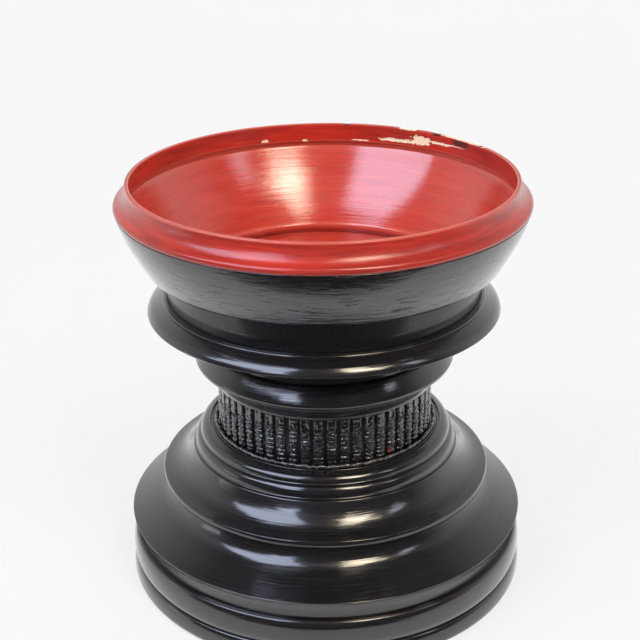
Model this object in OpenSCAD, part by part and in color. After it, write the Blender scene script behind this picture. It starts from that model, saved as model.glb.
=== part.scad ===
// Offering vessel on a turned pedestal: a wide lacquered bowl, red inside and black outside,
// carried by a flange, a waisted drum with a beaded frieze, two spreading skirts and a ringed foot.
// The pedestal is a stack of turned wooden rings located by tongues and by the waist drum.
// Origin on the axis at the floor, Z up, millimetres.

/* [Waist] */
// Outer radius of the hollow drum that carries the whole upper half
drum_r = 89; // [80:0.5:96]
// Wall of the drum
drum_wall = 10; // [6:0.5:14]
// How deep the drum sits in the upper skirt and in the flange
drum_socket = 6; // [3:0.5:10]
// Clear height of the frieze between the ledge and the fillet
frieze_h = 44; // [30:1:60]
// Height of the fillet ring above the frieze
fillet_h = 15; // [8:0.5:20]
// How far the fillet ring stands out at its lower edge
fillet_low_out = 6; // [4:0.5:9]
// How far the fillet ring stands out at its upper edge
fillet_out = 15; // [11:0.5:18]
// Thickness of that upper edge
fillet_edge = 2.5; // [1:0.5:4]
// Height of the rounded cushion ring
cushion_h = 18.5; // [12:0.5:28]
// Height of the cushion ring's widest line above its foot
cushion_wide_h = 5; // [3:0.5:9]
// How far the cushion ring is rounded in at its foot
cushion_round = 6; // [3:0.5:9]
// How far its sloping upper face is drawn in at the top
cushion_in = 8.5; // [6:0.5:12]
// How far the cushion ring stands out from the drum
cushion_out = 21.5; // [17:0.5:26]

/* [Frieze] */
// Number of relief strips round the drum
strip_count = 54; // [36:2:60]
// Width of a strip, which is a half round rod
strip_w = 7.6; // [5:0.1:8.4]
// Length of the drop that tops each strip
drop_h = 12; // [8:0.5:18]
// Length over which the drop swells from its tip
drop_tip = 4; // [2:0.5:6]
// Beads along a strip below its drop
strip_beads = 7; // [4:1:10]
// Depth of the nicks between the beads
bead_nick = 1; // [0.4:0.1:1.4]
// Gap left above and below each strip
strip_gap = 1.2; // [0.4:0.2:2]
// Thickness of the cord that borders the foot of the frieze
cord_d = 3.6; // [2:0.2:5]
// How much of that cord is flattened on the ledge
cord_flat = 0.2; // [0.1:0.1:0.6]

/* [Beads] */
// Height of the upper bead ring, whose top is the frieze ledge
bead1_h = 8.2; // [6:0.1:12]
// How far the upper bead stands out from the drum
bead1_out = 20; // [17:0.5:24]
// Height of the lower bead ring
bead2_h = 10.3; // [7:0.1:14]
// How far the lower bead stands out from the drum
bead2_out = 25; // [21:0.5:30]
// Size of the fine fillet at the foot of each bead
bead_fillet = 1.2; // [0.6:0.2:2]
// Depth of the groove round the frieze ledge
moat_depth = 2; // [1:0.5:4]
// Width of that groove
moat_w = 2.4; // [1:0.2:4]

/* [Skirts] */
// How far the upper skirt spreads past the lower bead
skirt2_out = 28.5; // [22:0.5:36]
// Height of the upper skirt, from the lower skirt to the lower bead
skirt2_h = 30.5; // [24:0.5:38]
// Thickness of the upper skirt's edge
skirt2_edge = 6.7; // [3:0.1:8]
// Gap under the upper skirt's edge
skirt2_lift = 2.8; // [2:0.1:6]
// How far that edge is rounded
skirt2_nose = 1.2; // [0.4:0.2:2]
// How far the lower skirt spreads past the upper skirt
skirt1_out = 29.3; // [22:0.1:34]
// Height of the lower skirt
skirt1_h = 30; // [24:0.5:38]
// Thickness of the lower skirt's edge
skirt1_edge = 2; // [1.5:0.5:4]
// How far the lower skirt's top is set back under the upper skirt's edge
skirt1_tuck = 9.8; // [6:0.2:13]
// Wall of the lower skirt at its top
skirt1_wall = 24.7; // [18:0.1:32]

/* [Foot] */
// Height of the bottom roll
foot_ring_h = 16.5; // [12:0.5:22]
// How far the bottom roll stands out past the lower skirt's edge
foot_ring_out = 1.8; // [-3:0.2:3]
// Height of the bottom roll's widest line
foot_ring_wide_h = 5; // [3:0.5:10]
// Height of the middle roll
foot_mid_h = 24.5; // [16:0.5:30]
// How far the middle roll stands out past the lower skirt's edge
foot_mid_out = 0.8; // [-3:0.2:3]
// Height of the middle roll's widest line above its foot
foot_mid_wide_h = 9.5; // [6:0.5:14]
// Height of the hollowed band under the lower skirt
foot_top_h = 16.5; // [10:0.5:22]
// How far the hollowed band is set back at its foot
foot_top_inset = 6; // [4:0.5:8]
// How far the hollowed band flares towards the skirt
foot_top_flare = 3; // [1:0.5:4]
// How far each foot roll swells
foot_swell = 4; // [2:0.5:5]
// Wall of the foot rings at the hollowed band
foot_wall = 23.8; // [18:0.2:32]

/* [Flange] */
// Height of the flange, from the cushion ring to the bowl's seat
flange_h = 41; // [34:0.5:50]
// Shelf of the flange outside the bowl's neck
flange_shelf = 17.8; // [12:0.2:24]
// Fall of the flange's top from the seat to its rolled edge
flange_fall = 4.2; // [2:0.2:7]
// Height of that rolled edge
flange_edge = 6.8; // [4:0.2:9]
// Width of that rolled edge
flange_roll = 5.3; // [3:0.1:8]
// Size of the small bevel under the rolled edge
flange_lip = 1; // [0.4:0.2:2]
// How far the flange's foot is set back from the cushion ring's widest line
flange_foot_inset = 11; // [7:0.5:15]
// Height of the plain band at the flange's foot
flange_band_h = 5; // [3:0.5:8]

/* [Bowl] */
// Widest radius of the bowl
bowl_r = 170; // [160:0.5:185]
// Height of the bowl's wall
bowl_h = 49; // [40:1:64]
// How much the wall widens from its lower edge to the collar
bowl_flare = 23.5; // [18:0.5:28]
// How far the wall's lower edge is rounded
wall_round = 4; // [2:0.5:6]
// Overhang of the wall past its neck
bowl_overhang = 13; // [9:0.5:16]
// Height of the wall's plain foot under that overhang
cove_h = 15; // [10:0.5:20]
// Height of the hollow between that foot and the overhang
cove_round = 6; // [3:0.5:9]
// Height of the neck ring
neck_h = 15; // [12:0.5:20]
// How much the neck ring widens upwards
neck_taper = 3; // [1:0.5:5]
// Wall of the neck ring at its foot
neck_wall = 4.5; // [3:0.5:6]
// Thickness of the half round bead at the foot of the neck
seat_bead_d = 5; // [2:0.2:6]
// Thickness of the bowl's floor
floor_t = 9.5; // [7:0.5:13]
// Width of the rim of the floor that carries the wall
floor_rim = 10; // [6:0.5:14]
// Height of the step from the floor to the wall
floor_step = 7.5; // [4:0.5:10]
// How deep the floor is dished at its middle
floor_dish = 2; // [0.5:0.5:4]

/* [Collar] */
// Height of the red collar above the wall
collar_h = 21; // [18:0.5:30]
// How far the lip is drawn in from the widest line
lip_inset = 10; // [6:0.5:13]
// Thickness of the lip, hoop and collar together
lip_t = 3.5; // [3:0.1:5]
// Height of the rounded shoulder
shoulder_h = 6.2; // [5:0.1:8]
// How far the shoulder is drawn in over that height
shoulder_in = 3; // [2:0.5:5]
// Height of the hollow between the shoulder and the upright lip
lip_hollow_h = 3.5; // [2:0.5:6]
// How far the lip's outer edge is rounded
lip_round = 0.5; // [0.2:0.1:1]
// Height of the thin hoop that lines the lip
hoop_h = 16.5; // [10:0.5:18]
// Thickness of that hoop
hoop_t = 1.9; // [1:0.1:2.2]
// How far the collar and the wall are set back under that hoop
hoop_undercut = 3; // [2.4:0.1:4]

/* [Fits] */
// Glue line left round every spigot, tongue and ring
fit_gap = 0.2; // [0.1:0.05:0.5]
// Width of the tongues between stacked rings
tongue_w = 4; // [2:0.5:5]
// Height of those tongues
tongue_h = 3; // [1:0.5:4]
// Narrow flat shown where one ring stands on a wider one
ring_step = 1; // [0.4:0.2:2]

/* [Hidden] */
$fn = 160;
curve_steps = 10;
// How far a cut runs past the solid that it opens
cut_over = 1;

black = "#1b1a1c";
red = "#b4342b";
bamboo = "#a5372c";

// Levels of the stack, from the floor up
z_mid = foot_ring_h;
z_top = z_mid + foot_mid_h;
z_skirt1 = z_top + foot_top_h;
z_skirt2 = z_skirt1 + skirt1_h;
z_bead2 = z_skirt2 + skirt2_h;
z_bead1 = z_bead2 + bead2_h;
z_ledge = z_bead1 + bead1_h;
z_fillet = z_ledge + frieze_h;
z_cushion = z_fillet + fillet_h;
z_flange = z_cushion + cushion_h;
z_seat = z_flange + flange_h;
z_floor = z_seat + floor_t;
z_neck = z_seat + neck_h;
z_bowl = z_neck + cove_h;
z_rim = z_bowl + bowl_h;
z_lip = z_rim + collar_h;

// Radii of the pedestal, from the drum outwards
drum_bore = drum_r - drum_wall;
ring_bore = drum_r + fit_gap;
bead1_r = drum_r + bead1_out;
bead2_r = drum_r + bead2_out;
cushion_r = drum_r + cushion_out;
skirt2_top_r = bead2_r + ring_step;
skirt2_r = bead2_r + skirt2_out;
skirt1_r = skirt2_r + skirt1_out;
skirt1_top_r = skirt2_r - skirt1_tuck;
foot_ring_r = skirt1_r + foot_ring_out;
foot_mid_r = skirt1_r + foot_mid_out;
foot_top_r = skirt1_r - foot_top_inset;
skirt1_bore = skirt1_top_r - skirt1_wall;
foot_bore = foot_top_r - foot_wall;

// Middle line of the cord, then the groove's two sides and the crest outside them
cord_r = drum_r + strip_w / 2 + fit_gap + cord_d / 2;
moat_r0 = cord_r + cord_d / 2 + ring_step;
moat_r1 = moat_r0 + moat_w;
crest_r = moat_r1 + ring_step;

// Radii of the bowl, from its widest line inwards
bowl_low_r = bowl_r - bowl_flare;
neck_top_r = bowl_low_r - bowl_overhang;
neck_r = neck_top_r - neck_taper;
flange_r = neck_r + flange_shelf;
spigot_r = neck_r - neck_wall;
floor_r = spigot_r - floor_rim;
lip_r = bowl_r - lip_inset;
mouth_r = lip_r - lip_t;
wall_mouth_r = mouth_r + hoop_undercut;

// Middle lines of the tongues
foot_tongue_r = (foot_bore + foot_top_r) / 2;
skirt_tongue_r = (skirt1_bore + skirt1_top_r) / 2;
rim_tongue_r = (wall_mouth_r + bowl_r) / 2;

// Where each curve is drawn to, as shares of its run and of its rise
skirt1_turn = [0.95, 0.55];
skirt2_turn = [0.7, 0.15];
cushion_turn = [0.32, 0.45];
flange_turn = [0.25, 0.66];
wall_turn = [0.8, 0.6];
inside_turn = [0.62, 0.38];
neck_turn = [0, 0.6];
cove_turn = [0, 1];
shoulder_turn = [-1.5, 0.7];
// How much of the way to that point is a plain brim
skirt1_brim = 0.7;
skirt2_brim = 0.2;

// Points of a curve from a to b, drawn towards the point c
function bow(a, c, b) = [for (i = [0:curve_steps]) let (t = i / curve_steps)
    (1 - t) * (1 - t) * a + 2 * t * (1 - t) * c + t * t * b];

// The point that lies at those shares of the way from a to b
function between(a, b, share) = a + [share[0] * (b[0] - a[0]), share[1] * (b[1] - a[1])];

// Points of a roll from height z0 to z1 that swells out to radius r at height zw
function swell(r, depth, z0, zw, z1) = [for (i = [0:curve_steps]) let (a = 180 * i / curve_steps)
    [r - depth + depth * sin(a), zw - (a < 90 ? zw - z0 : z1 - zw) * cos(a)]];

// Points of a quarter round from the outer point a up to the inner point b
function quarter(a, b) = [for (i = [0:curve_steps]) let (t = 90 * i / curve_steps)
    [b[0] + (a[0] - b[0]) * cos(t), a[1] + (b[1] - a[1]) * sin(t)]];

// A list without its first point, to go on from the end of another curve
function tail(points) = [for (i = [1:len(points) - 1]) points[i]];

// Outline of a tongue that rises from height z, from the outer side to the inner one
function tongue(r, z) = [[r + tongue_w / 2, z], [r + tongue_w / 2, z + tongue_h],
    [r - tongue_w / 2, z + tongue_h], [r - tongue_w / 2, z]];

// Outline of the groove that takes it, from the inner side to the outer one
function groove(r, z) = let (w = tongue_w / 2 + fit_gap, h = tongue_h + fit_gap)
    [[r - w, z], [r - w, z + h], [r + w, z + h], [r + w, z]];

// Turns a section, given as its points, about the vessel's axis
module turned(points) {
    rotate_extrude() polygon(points);
}

// Bottom roll, which stands on the floor
module foot_ring() {
    color(black) turned(concat(
        [[foot_bore, 0]],
        swell(foot_ring_r, foot_swell, 0, foot_ring_wide_h, z_mid),
        tongue(foot_tongue_r, z_mid),
        [[foot_bore, z_mid]]));
}

// Wide middle roll
module foot_middle_ring() {
    color(black) turned(concat(
        [[foot_bore, z_mid]],
        groove(foot_tongue_r, z_mid),
        swell(foot_mid_r, foot_swell, z_mid, z_mid + foot_mid_wide_h, z_top),
        tongue(foot_tongue_r, z_top),
        [[foot_bore, z_top]]));
}

// Hollowed band in the shade of the lower skirt
module foot_top_ring() {
    low = [foot_top_r, z_top];
    high = [foot_top_r + foot_top_flare, z_skirt1];
    color(black) turned(concat(
        [[foot_bore, z_top]],
        groove(foot_tongue_r, z_top),
        bow(low, [foot_top_r - ring_step, (z_top + z_skirt1) / 2], high),
        tongue(foot_tongue_r, z_skirt1),
        [[foot_bore, z_skirt1]]));
}

// Outline of a skirt, from its edge along a plain brim and up a hollow curve to its top
function skirt_curve(edge, top, turn, brim) = let (drawn = between(edge, top, turn))
    concat([edge], bow(between(edge, drawn, [brim, brim]), drawn, top));

// Lower skirt, the widest tier of the pedestal
module lower_skirt() {
    color(black) turned(concat(
        [[skirt1_bore, z_skirt1]],
        groove(foot_tongue_r, z_skirt1),
        [[skirt1_r - skirt1_edge / 2, z_skirt1]],
        skirt_curve([skirt1_r, z_skirt1 + skirt1_edge], [skirt1_top_r, z_skirt2], skirt1_turn, skirt1_brim),
        tongue(skirt_tongue_r, z_skirt2),
        [[skirt1_bore, z_skirt2]]));
}

// Upper skirt, with the socket that takes the drum
module upper_skirt() {
    z0 = z_skirt2 + skirt2_lift;
    z1 = z0 + skirt2_edge;
    color(black) turned(concat(
        [[drum_bore, z_skirt2]],
        groove(skirt_tongue_r, z_skirt2),
        [[skirt1_top_r, z_skirt2], [skirt1_top_r, z0]],
        swell(skirt2_r, skirt2_nose, z0, (z0 + z1) / 2, z1),
        tail(skirt_curve([skirt2_r - skirt2_nose, z1], [skirt2_top_r, z_bead2], skirt2_turn, skirt2_brim)),
        [[ring_bore, z_bead2], [ring_bore, z_bead2 - drum_socket], [drum_bore, z_bead2 - drum_socket]]));
}

// Fine fillet at the foot of a bead ring, from the underside to the quarter round
function bead_edge(r, z) = [[r - bead_fillet / 2, z], [r, z + bead_fillet / 2], [r, z + bead_fillet],
    [r - bead_fillet / 2, z + 1.5 * bead_fillet]];

// Lower bead, threaded on the drum
module lower_bead_ring() {
    color(black) turned(concat(
        [[ring_bore, z_bead2]],
        bead_edge(bead2_r, z_bead2),
        quarter([bead2_r - bead_fillet / 2, z_bead2 + 2 * bead_fillet], [bead1_r - ring_step, z_bead1]),
        [[ring_bore, z_bead1]]));
}

// Upper bead, whose flat top is the ledge under the frieze
module upper_bead_ring() {
    color(black) turned(concat(
        [[ring_bore, z_bead1]],
        bead_edge(bead1_r, z_bead1),
        quarter([bead1_r - bead_fillet / 2, z_bead1 + 2 * bead_fillet], [crest_r, z_ledge]),
        [[moat_r1, z_ledge], [moat_r1, z_ledge - moat_depth], [moat_r0, z_ledge - moat_depth]],
        [[moat_r0, z_ledge], [ring_bore, z_ledge]]));
}

// Drum that runs from the upper skirt to the flange
module waist_drum() {
    z0 = z_bead2 - drum_socket;
    length = z_flange + drum_socket - z0;
    color(black) translate([0, 0, z0]) difference() {
        cylinder(r = drum_r, h = length);
        translate([0, 0, -cut_over]) cylinder(r = drum_bore, h = length + 2 * cut_over);
    }
}

// One strip of the frieze: a half round rod, nicked into beads under a long drop, flat against the drum
module frieze_strip() {
    length = frieze_h - 2 * strip_gap;
    z_drop = length - drop_h;
    pitch = z_drop / strip_beads;
    full = strip_w / 2;
    tip = full - bead_nick;
    outline = concat([[0, 0]],
        [for (i = [0:strip_beads - 1]) each [[tip, i * pitch], [full, (i + 0.5) * pitch]]],
        [[tip, z_drop], [full, z_drop + drop_tip], [tip, length], [0, length]]);
    rotate([0, 0, -90]) rotate_extrude(angle = 180) polygon(outline);
}

// The beaded frieze, a row of separate strips round the drum
module frieze_strips() {
    color(black) for (i = [0:strip_count - 1])
        rotate([0, 0, 360 * i / strip_count])
            translate([drum_r, 0, z_ledge + strip_gap]) frieze_strip();
}

// Cord that lies on the ledge against the foot of the strips
module frieze_cord() {
    color(black) rotate_extrude() intersection() {
        translate([cord_r, z_ledge + cord_d / 2 - cord_flat]) circle(d = cord_d, $fn = 32);
        translate([cord_r - cord_d, z_ledge]) square([2 * cord_d, cord_d]);
    }
}

// Hollowed fillet over the frieze
module fillet_ring() {
    low = [drum_r + fillet_low_out, z_fillet];
    high = [drum_r + fillet_out, z_cushion - fillet_edge];
    color(black) turned(concat(
        [[ring_bore, z_fillet]],
        bow(low, [low[0] + ring_step, z_fillet + fillet_h / 2], high),
        [[high[0], z_cushion], [ring_bore, z_cushion]]));
}

// Rounded cushion ring under the flange
module cushion_ring() {
    wide = [cushion_r, z_cushion + cushion_wide_h];
    top = [cushion_r - cushion_in, z_flange];
    color(black) turned(concat(
        [[ring_bore, z_cushion]],
        bow([cushion_r - cushion_round, z_cushion], [cushion_r, z_cushion], wide),
        tail(bow(wide, between(wide, top, cushion_turn), top)),
        [[ring_bore, z_flange]]));
}

// Flange that carries the bowl, hollowed underneath down to a plain band on the cushion ring
module flange_disc() {
    wide = [flange_r, z_seat - flange_fall - flange_edge];
    knee = [flange_r - flange_roll, z_seat - flange_fall];
    under = wide - [flange_lip, flange_lip];
    seat_r = neck_r + seat_bead_d + 2 * fit_gap;
    foot_r = cushion_r - flange_foot_inset;
    hollow = [foot_r - ring_step, z_flange + flange_band_h];
    color(black) turned(concat(
        [[0, z_flange + drum_socket], [ring_bore, z_flange + drum_socket], [ring_bore, z_flange]],
        [[foot_r, z_flange], [foot_r, hollow[1]]],
        bow(hollow, [hollow[0], under[1]], under),
        bow(wide, between(wide, knee, flange_turn), knee),
        [[seat_r, z_seat], [0, z_seat]]));
}

// Half round bead that hides the joint between flange and neck
module seat_bead() {
    color(black) rotate_extrude() intersection() {
        translate([neck_r + fit_gap + seat_bead_d / 2, z_seat]) circle(d = seat_bead_d, $fn = 32);
        translate([neck_r, z_seat]) square([2 * seat_bead_d, seat_bead_d]);
    }
}

// Neck ring, which closes round the foot of the bowl
module neck_ring() {
    bore = spigot_r + fit_gap;
    low = [neck_r, z_seat];
    high = [neck_top_r, z_neck];
    color(black) turned(concat(
        [[bore, z_seat]],
        bow(low, between(low, high, neck_turn), high),
        [[bore, z_neck]]));
}

// Round floor of the bowl, slightly dished
module bowl_floor() {
    color(red) turned(concat(
        [[0, z_seat], [spigot_r, z_seat], [spigot_r, z_floor]],
        bow([floor_r - fit_gap, z_floor], [floor_r / 2, z_floor - floor_dish], [0, z_floor - floor_dish])));
}

// Wall of the bowl, with a spigot that stands on the floor's rim inside the neck ring
module bowl_wall() {
    neck = [neck_top_r, z_neck];
    cove = [neck_top_r, z_bowl - cove_round];
    edge = [bowl_low_r - wall_round, z_bowl];
    low = [bowl_low_r + wall_round / 2, z_bowl + wall_round];
    high = [bowl_r - ring_step / 2, z_rim];
    step = [floor_r, z_floor + floor_step];
    mouth = [wall_mouth_r, z_rim];
    color(black) turned(concat(
        [[floor_r, z_floor], [spigot_r, z_floor], [spigot_r, z_neck]],
        [neck],
        bow(cove, between(cove, edge, cove_turn), edge),
        tail(bow(edge, [bowl_low_r, z_bowl], low)),
        tail(bow(low, between(low, high, wall_turn), high)),
        tongue(rim_tongue_r, z_rim),
        bow(mouth, between(step, mouth, inside_turn), step)));
}

// Red collar that tops the wall: rounded shoulder, drawn-in neck and upright lip
module bowl_collar() {
    base = [bowl_r - ring_step, z_rim];
    shoulder = [bowl_r - shoulder_in, z_rim + shoulder_h];
    tip = [lip_r, z_lip - lip_round];
    bore = mouth_r + hoop_t + fit_gap;
    z_hoop = z_lip - hoop_h;
    color(red) turned(concat(
        [[wall_mouth_r, z_rim]],
        groove(rim_tongue_r, z_rim),
        bow(base, between(base, shoulder, shoulder_turn), shoulder),
        tail(bow(shoulder, [lip_r, shoulder[1] + lip_hollow_h], tip)),
        [[lip_r - lip_round, z_lip], [bore, z_lip], [bore, z_hoop], [wall_mouth_r, z_hoop]]));
}

// Thin bent hoop that lines the lip
module lip_hoop() {
    z0 = z_lip - hoop_h;
    color(bamboo) translate([0, 0, z0]) difference() {
        cylinder(r = mouth_r + hoop_t, h = hoop_h);
        translate([0, 0, -cut_over]) cylinder(r = mouth_r, h = hoop_h + 2 * cut_over);
    }
}

foot_ring();
foot_middle_ring();
foot_top_ring();
lower_skirt();
upper_skirt();
lower_bead_ring();
upper_bead_ring();
waist_drum();
frieze_strips();
frieze_cord();
fillet_ring();
cushion_ring();
flange_disc();
seat_bead();
neck_ring();
bowl_floor();
bowl_wall();
bowl_collar();
lip_hoop();
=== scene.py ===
"""Offering vessel on a turned pedestal: lacquered rings, a hand-made frieze and a plain studio stage."""
import math
import random

import bpy
import numpy as np
from bpy.props import FloatProperty, FloatVectorProperty, IntProperty, PointerProperty
from mathutils import Matrix, Vector, noise


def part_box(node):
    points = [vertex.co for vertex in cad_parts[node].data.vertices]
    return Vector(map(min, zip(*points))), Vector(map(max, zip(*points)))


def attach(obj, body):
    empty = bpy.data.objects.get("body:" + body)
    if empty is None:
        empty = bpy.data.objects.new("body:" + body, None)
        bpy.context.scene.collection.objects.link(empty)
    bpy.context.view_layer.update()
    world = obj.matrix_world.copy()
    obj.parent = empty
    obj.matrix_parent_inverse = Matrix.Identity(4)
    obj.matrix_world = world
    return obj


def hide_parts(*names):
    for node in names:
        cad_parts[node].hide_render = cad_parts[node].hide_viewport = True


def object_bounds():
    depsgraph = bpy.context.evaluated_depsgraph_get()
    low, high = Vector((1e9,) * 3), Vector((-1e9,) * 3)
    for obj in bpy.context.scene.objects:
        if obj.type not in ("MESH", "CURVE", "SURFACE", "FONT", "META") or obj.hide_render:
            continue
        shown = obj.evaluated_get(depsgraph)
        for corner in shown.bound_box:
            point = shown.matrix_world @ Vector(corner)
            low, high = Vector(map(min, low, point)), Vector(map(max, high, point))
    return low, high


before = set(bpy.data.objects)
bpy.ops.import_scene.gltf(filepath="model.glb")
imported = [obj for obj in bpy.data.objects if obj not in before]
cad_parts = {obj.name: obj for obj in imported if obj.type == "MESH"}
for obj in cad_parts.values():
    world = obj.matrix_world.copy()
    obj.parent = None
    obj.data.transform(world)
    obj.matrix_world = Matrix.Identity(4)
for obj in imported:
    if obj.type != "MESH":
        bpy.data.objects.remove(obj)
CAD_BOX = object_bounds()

bl_info = {
    "name": "Offering Vessel",
    "version": (1, 0, 0),
    "blender": (4, 5, 0),
    "location": "View3D > Sidebar > Vessel",
    "description": "Lacquered offering vessel with a beaded frieze, on a studio stage",
    "category": "Add Mesh",
}

MM = 0.001
BODY = "root"
# A turn in an outline above this is an edge, and a smaller one is part of a curve
EDGE_TURN = math.radians(24)
# Turn between neighbouring points of a rounded edge or curve
STEP_TURN = math.radians(7)
# How far a slight bend between two long stretches is spread along them
BEND_REACH = 3 * MM
# How far the wear of an edge reaches, and where a flat stretch beside it starts
WEAR_REACH = 1.5 * MM
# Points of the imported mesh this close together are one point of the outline
SAME_POINT = 0.02 * MM
# Radius at which the brush marks have the lengths given for them
MARK_RADIUS = 150 * MM
# Edges that lie further in than this, under the foot's top ring or under the upper skirt, stay sharp
FOOT_COVER = 8 * MM
SKIRT_COVER = 12 * MM
# So do edges that are no further out than this from the piece that fills the bore
BORE_MARGIN = 1 * MM


def linear(hex_colour):
    """Linear RGB of an sRGB hex value."""
    channels = [int(hex_colour[i:i + 2], 16) / 255 for i in (0, 2, 4)]
    return tuple(c / 12.92 if c <= 0.04045 else ((c + 0.055) / 1.055) ** 2.4 for c in channels)


def colour_property(name, description, hex_colour):
    """A colour that a user can change, given as sRGB hex."""
    return FloatVectorProperty(name=name, description=description, subtype="COLOR", size=3, min=0, max=1,
                               default=linear(hex_colour))


def length_property(name, description, millimetres):
    """A length that a user can change, given in millimetres."""
    return FloatProperty(name=name, description=description, default=millimetres * MM, min=0, precision=5,
                         subtype="DISTANCE", unit="LENGTH")


def share_property(name, description, share, most=1):
    """A share that a user can change."""
    return FloatProperty(name=name, description=description, default=share, min=0, max=most, subtype="FACTOR")


def power_property(name, description, watts):
    """A light's power that a user can change, given in watts."""
    return FloatProperty(name=name, description=description, default=watts, min=0, unit="POWER")


def angle_property(name, description, degrees):
    """An angle that a user can change, given in degrees."""
    return FloatProperty(name=name, description=description, default=math.radians(degrees), subtype="ANGLE")


class VesselSizes(bpy.types.PropertyGroup):
    """Sizes that the lacquerer's hand adds to the turned rings"""
    segments: IntProperty(name="Segments", description="Facets round a turned ring", default=288,
                          min=96, max=720)
    lip_segments: IntProperty(name="Lip Segments", description="Facets round the chipped lip", default=720,
                              min=96, max=1440)
    edge_ease: length_property("Edge Ease", "How far lacquer rounds the hard edges", 0.9)
    lip_ease: length_property("Lip Ease", "How far the thin lip's edges are rounded", 0.4)
    wobble: length_property("Wobble", "How far hand turning strays from a true circle", 0.3)
    chip_depth: length_property("Chip Depth", "Depth of the lost lacquer at the lip", 0.5)
    bead_pitch: length_property("Bead Pitch", "Usual length of a bead of the frieze", 4.1)
    drop_length: length_property("Drop Length", "Usual length of the drop that tops each strip", 12)
    hand_shift: length_property("Hand Shift", "How far beads stray from the middle of their strip", 0.5)
    strip_dish: share_property("Strip Dish", "How deep the drops are dished, as a share of their thickness",
                               0.4, 0.8)
    cord_rough: length_property("Cord Roughness", "How far the cord under the frieze is worn", 0.9)


class VesselColours(bpy.types.PropertyGroup):
    """Colours of the lacquers, of the ground under them and of the dust on them"""
    black: colour_property("Black", "Black tree lacquer", "141315")
    brown: colour_property("Brown", "Black lacquer that is rubbed thin", "231c19")
    red: colour_property("Red", "Cinnabar red lacquer", "be3020")
    # Dark red also serves as painted shade: on the bowl wall's step, and with dirt of handling on the collar
    # and lip
    dark_red: colour_property("Dark Red", "Red lacquer where the black coat under it shows", "842119")
    # Light red also serves as painted light, in pale patches inside the bowl
    light_red: colour_property("Light Red", "Red lacquer that is rubbed at edges", "d2624e")
    ground: colour_property("Ground", "Cream ground and bamboo bared by a chip", "efe0bd")
    dirt: colour_property("Dirt", "Old dirt in chips and seams", "2b211d")
    dust: colour_property("Dust", "Dust caught in the relief", "77706a")
    rust: colour_property("Rust", "Bare red-brown putty in a chip of the frieze", "7a4128")
    bamboo: colour_property("Bamboo", "Bamboo bared at the lip", "a08c68")


class StageSettings(bpy.types.PropertyGroup):
    """Floor, lights and camera"""
    paper: colour_property("Paper", "Pale floor and backdrop", "f7f7f6")
    paper_glow: share_property("Paper Glow", "How far the paper shows its own colour in any light", 0.78)
    room: colour_property("Room", "Dim room round the stage", "59595c")
    window_power: power_property("Window", "Power of the cool window", 42)
    lamp_power: power_property("Lamp", "Power of the warm lamp", 4.4)
    panel_power: power_property("Lamp Panel", "Power of the dimmer panel round the lamp", 32)
    side_power: power_property("Side Light", "Power of the small side light", 1.1)
    card_power: power_property("Low Card", "Power of the low bright card on the left", 0.7)
    sky_power: power_property("Sky Light", "Power of the broad soft light above the backdrop", 7)
    fill_power: power_property("Fill", "Power of the soft fill from the ceiling", 5)
    lens: FloatProperty(name="Lens", description="Focal length on a 36 mm sensor, in millimetres",
                        default=74.3, min=1, unit="CAMERA")
    distance: length_property("Distance", "Camera's distance in front of the axis", 1027)
    height: length_property("Height", "Camera's height above the floor", 676)
    pitch: angle_property("Pitch", "Camera's downward tilt", 23.63)
    yaw: angle_property("Yaw", "Camera's turn to the right", -0.19)
    roll: angle_property("Roll", "Camera's roll", -0.63)


def outline_of(node):
    """Half section of a turned node of the frame, as (radius, height) points in metres.

    A ring's outline is closed. A disc's runs from the axis to the axis."""
    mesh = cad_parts[node].data
    places = np.empty(len(mesh.vertices) * 3)
    mesh.vertices.foreach_get("co", places)
    places = places.reshape(-1, 3)
    flat = np.column_stack((np.hypot(places[:, 0], places[:, 1]), places[:, 2]))
    owner = np.full(len(flat), -1)
    points = []
    for i in range(len(flat)):
        if owner[i] < 0:
            owner[np.hypot(*(flat - flat[i]).T) < SAME_POINT] = len(points)
            points.append(flat[i])
    beside = [set() for _ in points]
    for edge in mesh.edges:
        a, b = (owner[v] for v in edge.vertices)
        if a != b:
            beside[a].add(b)
            beside[b].add(a)
    if max(map(len, beside)) > 2:
        raise RuntimeError(f"{node} isn't a plain turned piece")
    ends = [i for i, near in enumerate(beside) if len(near) == 1]
    walk = [min(ends or range(len(points)), key=lambda i: points[i][1])]
    while True:
        onward = [i for i in sorted(beside[walk[-1]]) if i not in walk[-2:] and i != walk[0]]
        if not onward:
            break
        walk.append(onward[0])
    outline = [points[i] for i in walk]
    if ends:
        on_axis = [np.array((0.0, p[1])) for p in (outline[0], outline[-1])]
        outline = ([on_axis[0]] if outline[0][0] > SAME_POINT else []) + outline
        outline += [on_axis[1]] if outline[-1][0] > SAME_POINT else []
    around = outline + outline[:1]
    area = sum(p[0] * q[1] - q[0] * p[1] for p, q in zip(around, around[1:]))
    return outline if area > 0 else outline[::-1]


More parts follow.
